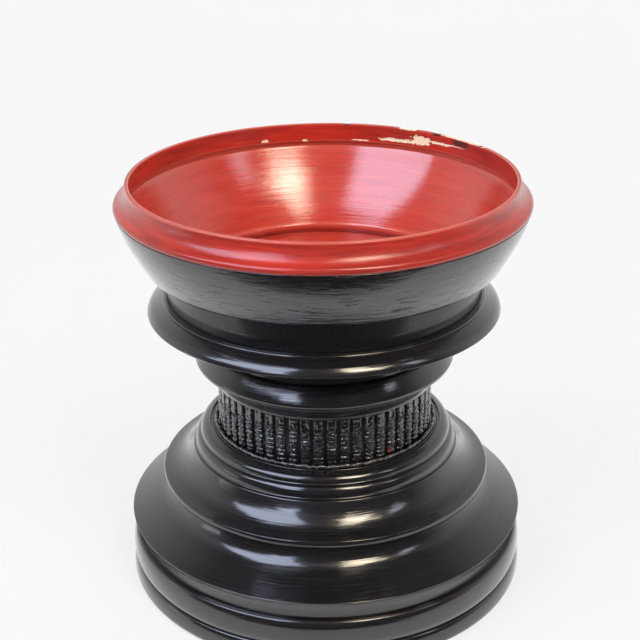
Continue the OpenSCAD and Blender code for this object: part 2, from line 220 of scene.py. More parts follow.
def eased(outline, ease, inner_radius=0):
    """The outline with its edges rounded by ease and its slight bends drawn out to curves.

    Edges nearer to the axis than inner_radius stay sharp. Each point comes with its wear, 1 on an edge."""
    points, wear = [], []
    count = len(outline)
    for i, here in enumerate(outline):
        back, onward = outline[i - 1] - here, outline[(i + 1) % count] - here
        cosine = back @ onward / np.linalg.norm(back) / np.linalg.norm(onward)
        turn = math.pi - math.acos(np.clip(cosine, -1, 1))
        hard = turn > EDGE_TURN
        kept = here[0] < SAME_POINT or (hard and here[0] < inner_radius)
        reach = 0 if kept else ease if hard else BEND_REACH
        first = here + back * min(0.5, reach / np.linalg.norm(back))
        last = here + onward * min(0.5, reach / np.linalg.norm(onward))
        steps = 1 if kept else max(1, math.ceil(turn / STEP_TURN))
        for step in range(steps + 1):
            t = step / steps
            point = (1 - t) ** 2 * first + 2 * t * (1 - t) * here + t ** 2 * last
            if not points or np.linalg.norm(point - points[-1]) > SAME_POINT:
                points.append(point)
                wear.append(1.0 if hard and not kept else 0.0)
    if np.linalg.norm(points[0] - points[-1]) < SAME_POINT:
        points.pop()
        wear.pop()
    return flanked(points, wear)


def flanked(points, wear):
    """The outline with two more points on each long stretch, so that the wear of an edge ends close to it."""
    more, more_wear = [], []
    for i, here in enumerate(points):
        onward = points[(i + 1) % len(points)] - here
        length = np.linalg.norm(onward)
        more.append(here)
        more_wear.append(wear[i])
        along_axis = here[0] < SAME_POINT and (here + onward)[0] < SAME_POINT
        if length > 3 * WEAR_REACH and not along_axis:
            more += [here + onward * WEAR_REACH / length, here + onward * (1 - WEAR_REACH / length)]
            more_wear += [0.0, 0.0]
    return more, more_wear


def divided(points, wear, longest):
    """The same outline with more points, no two further apart than longest."""
    more, more_wear = [], []
    for i, here in enumerate(points):
        there = points[(i + 1) % len(points)]
        steps = max(1, math.ceil(np.linalg.norm(there - here) / longest))
        for step in range(steps):
            more.append(here + (there - here) * step / steps)
            more_wear.append(wear[i] * (1 - step / steps) + wear[(i + 1) % len(points)] * step / steps)
    return more, more_wear


# Waves of the turner's hand: how many go round, their phase, its change per metre of height, and their share
STRAY_WAVES = ((2, 0.7, 9, 1.0), (3, 2.1, -14, 1.0), (7, 4.0, 31, 0.5))


def stray(angle, height, most):
    """How far the turner's hand strays inwards at a place, so that every ring there strays alike."""
    waves = sum(share * math.sin(count * angle + phase + change * height)
                for count, phase, change, share in STRAY_WAVES)
    # The shares add up to 2.5, so that the stray stays between 0 and most
    return most * (0.5 + 0.2 * waves)


def finish_piece(name, mesh, materials, node):
    """Links a mesh as a piece that stands for a node of the frame."""
    for material in materials:
        mesh.materials.append(material)
    mesh.shade_smooth()
    piece = bpy.data.objects.new(name, mesh)
    bpy.context.scene.collection.objects.link(piece)
    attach(piece, BODY)
    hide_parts(node)
    return piece


def set_attributes(mesh, **values):
    """Gives the mesh's points named values for its materials to read."""
    for name, each in values.items():
        mesh.attributes.new(name, "FLOAT", "POINT").data.foreach_set("value", each)


def turned_mesh(name, points, wear, segments, wobble, shape=None, mark="chip"):
    """Closed mesh of an outline turned about the axis, with its run and wear as attributes.

    shape, where given, moves each point: shape(radius, height, angle) gives the new radius and height
    and the value that the point carries in the attribute mark. The second result is each face's band."""
    on_axis = [p[0] < SAME_POINT for p in points]
    places, runs, wears, marks, rings = [], [], [], [], []
    run = 0
    for i, (radius, height) in enumerate(points):
        run += np.linalg.norm(points[i] - points[i - 1]) if i else 0
        ring = []
        for j in range(1 if on_axis[i] else segments):
            angle = 2 * math.pi * j / segments
            r, z, value = shape(radius, height, angle) if shape and not on_axis[i] else (radius, height, 0)
            r -= 0 if on_axis[i] else stray(angle, height, wobble)
            ring.append(len(places))
            places.append((r * math.cos(angle), r * math.sin(angle), z))
            runs.append(run)
            wears.append(wear[i])
            marks.append(value)
        rings.append(ring)
    faces, bands = [], []
    for i in range(len(points) - any(on_axis)):
        low, high = rings[i], rings[(i + 1) % len(points)]
        for j in range(segments):
            k = (j + 1) % segments
            if len(low) == 1:
                faces.append((low[0], high[k], high[j]))
            elif len(high) == 1:
                faces.append((low[j], low[k], high[0]))
            else:
                faces.append((low[j], low[k], high[k], high[j]))
            bands.append(i)
    mesh = bpy.data.meshes.new(name)
    mesh.from_pydata(places, [], faces)
    set_attributes(mesh, run=runs, wear=wears, **{mark: marks})
    return mesh, bands


def turn_piece(name, node, material, inner_radius=0, shape=None):
    """One lacquered ring or disc, turned from its node's outline."""
    sizes = bpy.context.scene.vessel_sizes
    points, wear = eased(outline_of(node), sizes.edge_ease, inner_radius)
    mesh, _ = turned_mesh(name, points, wear, sizes.segments, sizes.wobble, shape)
    return finish_piece(name, mesh, [material], node)


def add_node(tree, kind, inputs=None, output=0, **settings):
    """Adds a shader node, sets or links its inputs and gives one of its outputs."""
    node = tree.nodes.new("ShaderNode" + kind)
    for name, value in settings.items():
        setattr(node, name, value)
    for name, value in (inputs or {}).items():
        socket = node.inputs[name]
        if isinstance(value, bpy.types.NodeSocket):
            tree.links.new(value, socket)
        else:
            socket.default_value = (*value, 1) if socket.type == "RGBA" else value
    return node.outputs[output]


def start_material(name):
    """A new node material with its tree and shader, or the one of that name with neither."""
    material = bpy.data.materials.get(name)
    if material:
        return material, None, None
    material = bpy.data.materials.new(name)
    material.use_nodes = True
    return material, material.node_tree, material.node_tree.nodes["Principled BSDF"]


def brush_marks(tree, length, width, detail=3.0):
    """Noise drawn out round the axis, as a brush leaves it, with marks of that length and width."""
    place = add_node(tree, "TexCoord", output="Object")
    level = add_node(tree, "VectorMath", {0: place, 1: (1, 1, 0)}, operation="MULTIPLY")
    around = add_node(tree, "VectorMath", {0: level}, operation="NORMALIZE")
    run = add_node(tree, "Attribute", output="Fac", attribute_name="run")
    across = add_node(tree, "Math", {0: run, 1: 1 / width}, operation="MULTIPLY")
    lift = add_node(tree, "CombineXYZ", {2: across})
    share = MARK_RADIUS / length
    spot = add_node(tree, "VectorMath", {0: around, 1: (share, share, 0), 2: lift}, operation="MULTIPLY_ADD")
    return add_node(tree, "TexNoise", {"Vector": spot, "Scale": 1.0, "Detail": detail, "Roughness": 0.6})


def grit(tree, size, detail=2.0):
    """Even noise with grains of that size."""
    place = add_node(tree, "TexCoord", output="Object")
    return add_node(tree, "TexNoise", {"Vector": place, "Scale": 1 / size, "Detail": detail})


def set_finish(tree, shader, colour, roughness, ridges):
    """Links a finish to its shader. Each ridge is a pattern, how far it stands out and its strength."""
    normal = None
    for height, distance, strength in ridges:
        inputs = {"Height": height, "Distance": distance, "Strength": strength}
        if normal:
            inputs["Normal"] = normal
        normal = add_node(tree, "Bump", inputs)
    for name, socket in (("Base Color", colour), ("Roughness", roughness), ("Normal", normal),
                         ("Coat Normal", normal)):
        tree.links.new(socket, shader.inputs[name])


def set_gloss(shader, ior, coat, coat_ior, coat_roughness):
    """Sets a lacquer's index, and the share, index and roughness of the coat that polish leaves on it."""
    for name, value in (("IOR", ior), ("Coat Weight", coat), ("Coat IOR", coat_ior),
                        ("Coat Roughness", coat_roughness)):
        shader.inputs[name].default_value = value


# In the materials, a Map Range node takes a value, the two ends it comes from and the two it goes to,
# and a Mix node of colours takes its share at 0 and the two colours at 6 and 7


def black_lacquer(crinkled=False):
    """Black tree lacquer, brushed round the turned wood and rubbed by hand.

    It gives a deep gloss that wavers along faint brush marks, browner at rubbed edges, with specks of dust.
    The thick coat of the bowl's wall has also shrunk to low, drawn-out wrinkles."""
    material, tree, shader = start_material("crinkled_black_lacquer" if crinkled else "black_tree_lacquer")
    if not tree:
        return material
    colours = bpy.context.scene.vessel_colours
    # The hair marks of a brush are finer than a millimetre, and are drawn this wide so that they show
    fine = brush_marks(tree, 60 * MM, 1.3 * MM)
    broad = brush_marks(tree, 90 * MM, 7 * MM, 2.0)
    wear = add_node(tree, "Attribute", output="Fac", attribute_name="wear")
    patchy = add_node(tree, "MapRange", {0: broad, 1: 0.4, 2: 0.7})
    rubbed = add_node(tree, "Math", {0: wear, 1: patchy}, operation="MULTIPLY")
    thin = add_node(tree, "MapRange", {0: fine, 1: 0.45, 2: 0.75, 3: 0, 4: 0.4})
    brushed = add_node(tree, "Mix", {0: thin, 6: colours.black, 7: colours.brown}, 2, data_type="RGBA")
    worn = add_node(tree, "Mix", {0: rubbed, 6: brushed, 7: colours.brown}, 2, data_type="RGBA")
    specks = add_node(tree, "MapRange", {0: grit(tree, 3 * MM, 4.0), 1: 0.73, 2: 0.76, 3: 0, 4: 0.6})
    colour = add_node(tree, "Mix", {0: specks, 6: worn, 7: colours.dust}, 2, data_type="RGBA")
    roughness = add_node(tree, "MapRange", {0: fine, 1: 0.3, 2: 0.75, 3: 0.14, 4: 0.34})
    ridges = [(broad, 0.35 * MM, 0.4), (fine, 0.15 * MM, 0.6), (grit(tree, 1.6 * MM), 0.04 * MM, 0.3)]
    if crinkled:
        wrinkles = brush_marks(tree, 22 * MM, 5 * MM, 4.0)
        cracks = add_node(tree, "MapRange", {0: brush_marks(tree, 16 * MM, 2.5 * MM), 1: 0.62, 2: 0.68})
        ridges += [(wrinkles, 0.6 * MM, 0.5), (cracks, 0.25 * MM, 0.6)]
    set_finish(tree, shader, colour, roughness, ridges)
    set_gloss(shader, ior=1.42, coat=1.0, coat_ior=1.62, coat_roughness=0.06)
    return material


def thin_lacquer():
    """Thin black lacquer on the drum and the neck, where no hand can polish it.

    It gives a dull black ground with dust in it, so that the strips and the flange stand out."""
    material, tree, shader = start_material("thin_black_lacquer")
    if tree:
        colours = bpy.context.scene.vessel_colours
        marks = brush_marks(tree, 20 * MM, 1.5 * MM)
        dusty = add_node(tree, "MapRange", {0: grit(tree, 2 * MM, 4.0), 1: 0.5, 2: 0.8, 3: 0, 4: 0.12})
        colour = add_node(tree, "Mix", {0: dusty, 6: colours.black, 7: colours.dust}, 2, data_type="RGBA")
        roughness = add_node(tree, "MapRange", {0: marks, 1: 0.3, 2: 0.7, 3: 0.3, 4: 0.5})
        set_finish(tree, shader, colour, roughness, [(marks, 0.15 * MM, 0.5)])
        set_gloss(shader, ior=1.4, coat=0.6, coat_ior=1.6, coat_roughness=0.12)
    return material


def red_coat(tree, colours, cloud, depth):
    """Colour of the red coat: brush lines, patches of the colour cloud, small losses, rubbed edges and painted
    shade on the bowl wall's step.

    depth is how far the patches go over to cloud. The cloud patches are partly painted light and shade:
    lighter inside the bowl, darker on the collar and lip."""
    # Hair marks of the brush, drawn wider than they are so that they show
    fine = brush_marks(tree, 40 * MM, 1.2 * MM, 4.0)
    broad = brush_marks(tree, 60 * MM, 9 * MM)
    flecks = brush_marks(tree, 6 * MM, 1.0 * MM, 2.0)
    wear = add_node(tree, "Attribute", output="Fac", attribute_name="wear")
    lines = add_node(tree, "MapRange", {0: fine, 1: 0.45, 2: 0.75, 3: 0, 4: 0.65})
    lined = add_node(tree, "Mix", {0: lines, 6: colours.red, 7: colours.dark_red}, 2, data_type="RGBA")
    clouds = add_node(tree, "MapRange", {0: broad, 1: 0.32, 2: 0.66, 3: 0, 4: depth})
    clouded = add_node(tree, "Mix", {0: clouds, 6: lined, 7: cloud}, 2, data_type="RGBA")
    pale = add_node(tree, "Math", {0: wear, 1: broad}, operation="MULTIPLY")
    rubbed = add_node(tree, "Mix", {0: pale, 6: clouded, 7: colours.light_red}, 2, data_type="RGBA")
    # Painted shade: the bowl wall's step at the floor is darkened towards the dark red
    dirt_and_shade = add_node(tree, "Attribute", output="Fac", attribute_name="dirt_and_shade")
    edged = add_node(tree, "Mix", {0: dirt_and_shade, 6: rubbed, 7: colours.dark_red}, 2, data_type="RGBA")
    losses = add_node(tree, "MapRange", {0: flecks, 1: 0.72, 2: 0.76, 3: 0, 4: 0.8})
    return add_node(tree, "Mix", {0: losses, 6: edged, 7: colours.dirt}, 2, data_type="RGBA")


def red_ridges(tree):
    """Roughness and brush ridges of the red coat."""
    fine = brush_marks(tree, 40 * MM, 1.5 * MM, 4.0)
    broad = brush_marks(tree, 80 * MM, 9 * MM)
    roughness = add_node(tree, "MapRange", {0: fine, 1: 0.3, 2: 0.75, 3: 0.2, 4: 0.36})
    return roughness, [(broad, 0.3 * MM, 0.3), (fine, 0.25 * MM, 0.6)]


def red_lacquer():
    """Cinnabar red lacquer over black, brushed round the bowl and worn to a satin.

    It gives a warm red with fine dark and light lines along the brush, paler at rubbed edges, and pale patches
    that are partly painted light, brightening the inside of the bowl."""
    material, tree, shader = start_material("cinnabar_red_lacquer")
    if tree:
        colours = bpy.context.scene.vessel_colours
        # Pale patches, partly painted light that brightens the inside of the bowl
        set_finish(tree, shader, red_coat(tree, colours, colours.light_red, 0.25), *red_ridges(tree))
        set_gloss(shader, ior=1.3, coat=1.0, coat_ior=1.7, coat_roughness=0.1)
    return material


def chipped_red_lacquer():
    """The same red lacquer at the lip, broken away in places to a cream ground and bamboo.

    It gives matt cream patches with ragged, dirty edges in a satin red that is darker than the bowl's inside,
    partly from handling and partly painted shade."""
    material, tree, shader = start_material("chipped_red_lacquer")
    if not tree:
        return material
    colours = bpy.context.scene.vessel_colours
    chip = add_node(tree, "Attribute", output="Fac", attribute_name="chip")
    breaks = brush_marks(tree, 4 * MM, 1.2 * MM, 4.0)
    ragged = add_node(tree, "MapRange", {0: breaks, 1: 0.2, 2: 0.8, 3: -0.3, 4: 0.3})
    edge = add_node(tree, "Math", {0: chip, 1: ragged}, operation="ADD")
    dirt_and_shade = add_node(tree, "Math", {0: ragged, 1: chip}, operation="SUBTRACT")
    bare = add_node(tree, "MapRange", {0: edge, 1: 0.5, 2: 0.6})
    rim = add_node(tree, "MapRange", {0: edge, 1: 0.36, 2: 0.48, 3: 0, 4: 0.7})
    soiled = add_node(tree, "MapRange", {0: grit(tree, 2.5 * MM, 4.0), 1: 0.55, 2: 0.8, 3: 0, 4: 0.6})
    dirty = add_node(tree, "MapRange", {0: dirt_and_shade, 1: 0.35, 2: 0.75, 3: 0, 4: 0.9})
    # Dark patches, partly dirt of handling and partly painted shade on the collar and lip
    handled_and_shaded = red_coat(tree, colours, colours.dark_red, 0.75)
    red = add_node(tree, "Mix", {0: dirty, 6: handled_and_shaded, 7: colours.dirt}, 2, data_type="RGBA")
    edged = add_node(tree, "Mix", {0: rim, 6: red, 7: colours.dark_red}, 2, data_type="RGBA")
    ground = add_node(tree, "Mix", {0: soiled, 6: colours.ground, 7: colours.bamboo}, 2, data_type="RGBA")
    colour = add_node(tree, "Mix", {0: bare, 6: edged, 7: ground}, 2, data_type="RGBA")
    satin, ridges = red_ridges(tree)
    dull = add_node(tree, "Math", {0: bare, 1: 0.4, 2: satin}, operation="MULTIPLY_ADD")
    set_finish(tree, shader, colour, dull, ridges)
    set_gloss(shader, ior=1.3, coat=0.7, coat_ior=1.6, coat_roughness=0.22)
    return material


def relief_putty():
    """Lacquer putty of ash and sap, rolled and pressed by hand and then blackened.

    It gives small wet-looking glints on the beads, grey dust in the hollows and bare putty in the chips."""
    material, tree, shader = start_material("black_lacquer_putty")
    if not tree:
        return material
    colours = bpy.context.scene.vessel_colours
    grain = grit(tree, 1.1 * MM, 3.0)
    patches = grit(tree, 9 * MM, 3.0)
    dust = add_node(tree, "Attribute", output="Fac", attribute_name="dust")
    chip = add_node(tree, "Attribute", output="Fac", attribute_name="chip")
    spread = add_node(tree, "MapRange", {0: patches, 1: 0.35, 2: 0.65})
    settled = add_node(tree, "Math", {0: dust, 1: spread}, operation="MULTIPLY")
    dusty = add_node(tree, "Mix", {0: settled, 6: colours.black, 7: colours.dust}, 2, data_type="RGBA")
    colour = add_node(tree, "Mix", {0: chip, 6: dusty, 7: colours.rust}, 2, data_type="RGBA")
    roughness = add_node(tree, "MapRange", {0: grain, 1: 0.3, 2: 0.7, 3: 0.14, 4: 0.3})
    set_finish(tree, shader, colour, roughness, [(patches, 0.5 * MM, 0.3), (grain, 0.25 * MM, 0.4)])
    set_gloss(shader, ior=1.62, coat=1.0, coat_ior=1.6, coat_roughness=0.12)
    return material


class VESSEL_OT_foot(bpy.types.Operator):
    """Turn the three rings of the foot"""
    bl_idname = "vessel.foot"
    bl_label = "Foot Rings"

    def execute(self, context):
        # Only the outer face of these rings shows, outside the tongues that hold them together
        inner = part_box("foot_top_ring")[1].x - FOOT_COVER
        for node in ("foot_ring", "foot_middle_ring", "foot_top_ring"):
            turn_piece("turned_" + node, node, black_lacquer(), inner)
        return {"FINISHED"}


class VESSEL_OT_skirts(bpy.types.Operator):
    """Turn the two spreading skirts of the pedestal"""
    bl_idname = "vessel.skirts"
    bl_label = "Skirts"

    def execute(self, context):
        # Each skirt's top is hidden by what stands on it
        for node, inner in (("lower_skirt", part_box("upper_skirt")[1].x - SKIRT_COVER),
                            ("upper_skirt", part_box("lower_bead_ring")[1].x)):
            turn_piece("turned_" + node, node, black_lacquer(), inner)
        return {"FINISHED"}


# A fine ridge of lacquer on the crest of the frieze's ledge: its height, and where it lies outside the cord
CREST_RIDGE = 0.9 * MM
CREST_BAND = (3.2 * MM, 4.8 * MM)


class VESSEL_OT_waist_rings(bpy.types.Operator):
    """Turn the drum of the waist and the rings that are threaded on it"""
    bl_idname = "vessel.waist_rings"
    bl_label = "Waist Rings"

    def execute(self, context):
        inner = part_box("waist_drum")[1].x + BORE_MARGIN
        cord_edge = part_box("frieze_cord")[1].x

        def crested(radius, height, angle):
            """Lifts the points on the ledge's crest."""
            on_crest = CREST_BAND[0] < radius - cord_edge < CREST_BAND[1]
            return radius, height + CREST_RIDGE * on_crest, 0.0

        for node in ("lower_bead_ring", "upper_bead_ring", "fillet_ring", "cushion_ring"):
            turn_piece("turned_" + node, node, black_lacquer(), inner,
                       crested if node == "upper_bead_ring" else None)
        turn_piece("turned_waist_drum", "waist_drum", thin_lacquer(), inner)
        return {"FINISHED"}


class VESSEL_OT_frieze(bpy.types.Operator):
    """Roll the beaded strips of the frieze and the cord at their foot"""
    bl_idname = "vessel.frieze"
    bl_label = "Beaded Frieze"

    def execute(self, context):
        strips()
        cord()
        return {"FINISHED"}


# Crests of two strips are further apart than this, and the points of one crest are closer together
CREST_GAP = math.radians(1.5)
# Points of the strips this near to the furthest one from the axis lie on a crest
CREST_DEPTH = 0.5 * MM
# Powers that flatten a strip's front and narrow a drop's dish, and that round the beads and the drops
FRONT_POWER = 0.45
DISH_POWER = 5
BEAD_POWER = 0.7
DROP_POWER = 0.6
# Width between two beads, as a share of a bead's, and width and thickness at a drop's tip, as shares of the
# drop's
BEAD_WAIST = 0.82
TIP_WIDTH = 0.7
TIP_DEPTH = 0.5
# Shares of a drop's length: over which it swells, where its dish starts and over which the dish deepens
DROP_SWELL = 0.25
DISH_START = 0.12
DISH_SWELL = 0.25
# How far the last bead goes under the drop
DROP_LAP = 0.1 * MM
# Dust lies as high as this on the strips, as a share of their depth
DUST_DEPTH = 0.4
# Seed and ranges of the hand's unevenness. Lengths and dishes are shares of the usual ones, heights and
# widths of the strip's depth, nicks of a bead's height, rows of their drop, and shifts of the hand's shift
HAND_SEED = 54
UNEVEN = {
    "drop_length": (0.85, 1.35), "drop_height": (0.9, 1.0), "drop_width": (1.0, 1.08), "dish": (0.2, 1.2),
    "bead_length": (0.8, 1.2), "bead_height": (0.78, 1.0), "bead_width": (0.92, 1.12), "nick": (0.3, 0.5),
    "worn_width": (1.05, 1.25), "worn_nick": (0.05, 0.3), "row_width": (0.92, 1.0), "row_height": (0.9, 1.0),
    "lean": (-1, 1), "bead_shift": (-0.4, 0.4), "row_shift": (-0.3, 0.3),
}
# Lumps in the hand-rolled putty: their size and the share of the strip's thickness that they take
LUMP_SIZE = 2.2 * MM
LUMP_DEPTH = 0.5
# Strips that hands have worn smooth, by their place round from the front to the right, in degrees
WORN_STRIPS = (-13, 5)
# Chips in the frieze: place round from the front to the right in degrees, height above the strips' foot
# in millimetres, radius in millimetres and how far the putty is bared
FRIEZE_CHIPS = ((34.5, 4, 3.0, 1.0), (15.5, 6, 3.6, 0.12))
# How far a chip's edge wanders, in millimetres, and the slice of the noise that it follows
FRIEZE_DRIFT = 1.2
FRIEZE_SLICE = 7.0


def strips():
    """The row of hand-rolled strips: each is a dished drop at the top and a string of beads below it."""
    sizes = bpy.context.scene.vessel_sizes
    draw = random.Random(HAND_SEED)
    low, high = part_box("frieze_strips")
    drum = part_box("waist_drum")[1].x
    depth = high.x - drum
    count = strip_count()
    across = 14
    width = across + 1
    places, faces, dust, chips = [], [], [], []
    for i in range(count):
        middle = 2 * math.pi * i / count
        # Degrees round from the front, which faces -Y, to the right
        from_front = (math.degrees(middle) + 270) % 360 - 180
        smooth = WORN_STRIPS[0] < from_front < WORN_STRIPS[1]
        rows = strip_rows(draw, sizes, low.z, high.z, depth, smooth)
        first = len(places)
        for height, half, thick, dish, shift in rows:
            for j in range(width):
                # The front is nearly flat and the flat back lies on the drum, bent round it
                side = math.pi * j / across
                sideways = shift + half * math.cos(side)
                lump = noise.noise(Vector((middle * drum + sideways, 0, height)) / LUMP_SIZE)
                front = math.sin(side) ** FRONT_POWER - dish * math.sin(side) ** DISH_POWER
                out = thick * front * (1 + LUMP_DEPTH * min(0, lump))
                angle = middle + sideways / drum
                places.append(((drum + out) * math.cos(angle), (drum + out) * math.sin(angle), height))
                dust.append(max(0.0, 1 - out / depth / DUST_DEPTH))
                degrees = from_front + math.degrees(sideways / drum)
                chips.append(frieze_chip(degrees, (height - low.z) / MM, drum / MM))
        faces += strip_faces(first, len(rows), width)
    mesh = bpy.data.meshes.new("beaded_strips")
    mesh.from_pydata(places, [], faces)
    set_attributes(mesh, dust=dust, chip=chips)
    finish_piece("beaded_strips", mesh, [relief_putty()], "frieze_strips")


def strip_faces(first, rows, width):
    """Faces of the strip whose points start at first: its front, its flat back and its two ends."""
    faces = []
    for row in range(rows - 1):
        a = first + row * width
        b = a + width
        faces += [(a + j, b + j, b + j + 1, a + j + 1) for j in range(width - 1)]
        faces.append((b - 1, b + width - 1, b, a))
    top = first + (rows - 1) * width
    faces.append(tuple(first + j for j in range(width)))
    faces.append(tuple(top + j for j in reversed(range(width))))
    return faces


def strip_count():
    """Number of strips in the frieze's node, counted by the gaps between their crests."""
    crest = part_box("frieze_strips")[1].x - CREST_DEPTH
    angles = sorted(math.atan2(v.co.y, v.co.x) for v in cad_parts["frieze_strips"].data.vertices
                    if math.hypot(v.co.x, v.co.y) > crest)
    onward = angles[1:] + [angles[0] + 2 * math.pi]
    return sum(b - a > CREST_GAP for a, b in zip(angles, onward))


def strip_rows(draw, sizes, bottom, top, depth, smooth):
    """Rows of one strip from its foot up, as (height, half width, thickness, dish, sideways shift)."""
    per_bead, per_drop = 7, 14

    def uneven(what):
        """A share drawn from its range of unevenness."""
        return draw.uniform(*UNEVEN[what])

    rows = []
    height = bottom
    drop_foot = top - sizes.drop_length * uneven("drop_length")
    lean = uneven("lean") * sizes.hand_shift
    while height < drop_foot:
        pitch = min(sizes.bead_pitch * uneven("bead_length"), drop_foot - height + DROP_LAP)
        full = depth * uneven("bead_height")
        wide = depth * uneven("worn_width" if smooth else "bead_width")
        nick = uneven("worn_nick" if smooth else "nick")
        shift = lean * (height - bottom) / (top - bottom) + uneven("bead_shift") * sizes.hand_shift
        for k in range(per_bead):
            swell = math.sin(math.pi * k / per_bead) ** BEAD_POWER
            half = wide * (BEAD_WAIST + (1 - BEAD_WAIST) * swell)
            rows.append((height + k / per_bead * pitch, half, full * (1 - nick + nick * swell), 0, shift))
        height += pitch
    full = depth * uneven("drop_height")
    wide = depth * uneven("drop_width")
    dished = sizes.strip_dish * uneven("dish")
    for k in range(per_drop):
        # The drop swells quickly from its round tip and is dished on the way up
        t = k / (per_drop - 1)
        swell = math.sin(math.pi / 2 * min(1, t / DROP_SWELL)) ** DROP_POWER
        half = wide * (TIP_WIDTH + (1 - TIP_WIDTH) * swell) * uneven("row_width")
        thick = full * (TIP_DEPTH + (1 - TIP_DEPTH) * swell) * uneven("row_height")
        dish = dished * math.sin(math.pi / 2 * min(1, max(0, t - DISH_START) / DISH_SWELL))
        shift = lean + uneven("row_shift") * sizes.hand_shift
        rows.append((height + t * (top - height), half, thick, dish, shift))
    return rows


def frieze_chip(degrees, lift, radius):
    """How far the putty is bared at a place of the frieze."""
    bared = 0.0
    for place, height, reach, amount in FRIEZE_CHIPS:
        away = math.hypot(math.radians(degrees - place) * radius, lift - height)
        drift = FRIEZE_DRIFT * noise.noise(Vector((degrees, lift, FRIEZE_SLICE)))
        bared = max(bared, amount * min(1.0, max(0.0, reach - away + drift)))
    return bared


# Facets round the cord and along it, its worn spots for each radian, and how much finer the ragged ones are
CORD_FACETS = 14
CORD_SEGMENTS = 720
CORD_SPOTS = 34
CORD_FINER = 2.7
# The cord's loss where it is worn evenly, what the ragged spots add to it, and the loss that takes the whole
# of its roughness
EVEN_LOSS = 0.25
RAGGED_LOSS = 0.5
FULL_LOSS = 0.5
# Most that the sides are drawn in and that the top sinks, as shares of their way, and the dust on a whole cord
MOST_SHRUNK = 0.5
MOST_SUNK = 0.8
CORD_DUST = 0.3
# Room between the cord and the strips
CORD_ROOM = 0.2 * MM


def cord():
    """The worn and dusty cord on the ledge along the foot of the strips."""
    sizes = bpy.context.scene.vessel_sizes
    low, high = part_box("frieze_cord")
    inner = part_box("frieze_strips")[1].x + CORD_ROOM
    middle = (inner + high.x) / 2
    half = (high.x - inner) / 2
    centre = low.z + half
    outline = [np.array((middle + half * math.cos(a), max(low.z, centre + half * math.sin(a))))
               for a in (2 * math.pi * k / CORD_FACETS for k in range(CORD_FACETS))]

    def worn(radius, height, angle):
        """Sinks the cord and draws it in by its wear, and gives the dust that lies there."""
        spot = Vector((math.cos(angle), math.sin(angle), 0)) * CORD_SPOTS
        loss = max(0.0, EVEN_LOSS + noise.noise(spot) + RAGGED_LOSS * noise.noise(spot * CORD_FINER))
        share = max(0.0, (height - low.z) / (high.z - low.z))
        shrunk = radius + (middle - radius) * MOST_SHRUNK * min(1.0, loss)
        sunk = min(MOST_SUNK * (height - low.z), loss / FULL_LOSS * share * sizes.cord_rough)
        return shrunk, height - sunk, min(1.0, CORD_DUST + loss)

    mesh, _ = turned_mesh("frieze_foot_cord", outline, [0] * len(outline), CORD_SEGMENTS, 0, worn, "dust")
    finish_piece("frieze_foot_cord", mesh, [relief_putty()], "frieze_cord")


# The seat bead's height at its outside, as a share of a half-round's, and the facets of its quarter round
SEAT_FLATNESS = 0.6
SEAT_FACETS = 6


class VESSEL_OT_flange(bpy.types.Operator):
    """Turn the flange that carries the bowl, with the half-round bead on it"""
    bl_idname = "vessel.flange"
    bl_label = "Flange"

    def execute(self, context):
        sizes = context.scene.vessel_sizes
        turn_piece("turned_flange", "flange_disc", black_lacquer(),
                   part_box("waist_drum")[1].x + BORE_MARGIN)
        low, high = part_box("seat_bead")
        radius = high.z - low.z
        middle = high.x - radius
        # Lacquer has filled the bead's sides: it is flattened outside, and inside it rises to the neck
        outline = [np.array((middle + radius * math.cos(a), low.z + SEAT_FLATNESS * radius * math.sin(a)))
                   for a in (math.pi / 2 * k / SEAT_FACETS for k in range(SEAT_FACETS + 1))]
        outline += [np.array((middle - radius, low.z + lift * radius)) for lift in (1.0, 0.0)]
        mesh, _ = turned_mesh("neck_seat_bead", outline, [0] * len(outline), sizes.segments, sizes.wobble)
        finish_piece("neck_seat_bead", mesh, [black_lacquer()], "seat_bead")
        return {"FINISHED"}


# Height above the neck ring up to which the wall's outside is as dull as the neck
DULL_RISE = 15 * MM
# Height above the neck ring up to which neck and wall widen evenly, and by how much they widen
NECK_RISE = 9 * MM
NECK_FLARE = 3 * MM
# Faces further out than this from the floor's rim are the outside of the neck and of the wall
NECK_WALL = 3 * MM
# Faces no further out than this from the neck's outside widen with it, and this much of its foot stays
NECK_SLACK = 1 * MM
# The wall's step on the floor lies further in than this from the floor's rim, and carries painted shade up to
# this height
STEP_DEPTH = 9 * MM
STEP_SHADE_RISE = 3 * MM


class VESSEL_OT_bowl(bpy.types.Operator):
    """Turn the bowl's neck ring, floor and two-coloured wall"""
    bl_idname = "vessel.bowl"
    bl_label = "Bowl"

    def execute(self, context):
        sizes = context.scene.vessel_sizes
        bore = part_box("bowl_floor")[1].x + BORE_MARGIN
        turn_piece("turned_neck", "neck_ring", thin_lacquer(), bore, neck_shape())
        turn_piece("turned_bowl_floor", "bowl_floor", red_lacquer())
        points, wear = eased(outline_of("bowl_wall"), sizes.edge_ease)
        # The wall carries painted shade on its step at the floor, as an attribute that the red lacquer darkens
        # by
        mesh, bands = turned_mesh("turned_bowl_wall", points, wear, sizes.segments, sizes.wobble,
                                  neck_shape(), "dirt_and_shade")
        finishes = [black_lacquer(crinkled=True), red_lacquer(), thin_lacquer()]
        piece = finish_piece("turned_bowl_wall", mesh, finishes, "bowl_wall")
        # The outline goes up the outside, over the top and down the inside
        outside, inside, foot = range(len(finishes))
        top = max(range(len(points)), key=lambda i: points[i][1])
        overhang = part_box("neck_ring")[1].z + DULL_RISE
        finish = [inside if band >= top else foot if points[band][1] < overhang else outside
                  for band in bands]
        piece.data.polygons.foreach_set("material_index", finish)
        return {"FINISHED"}


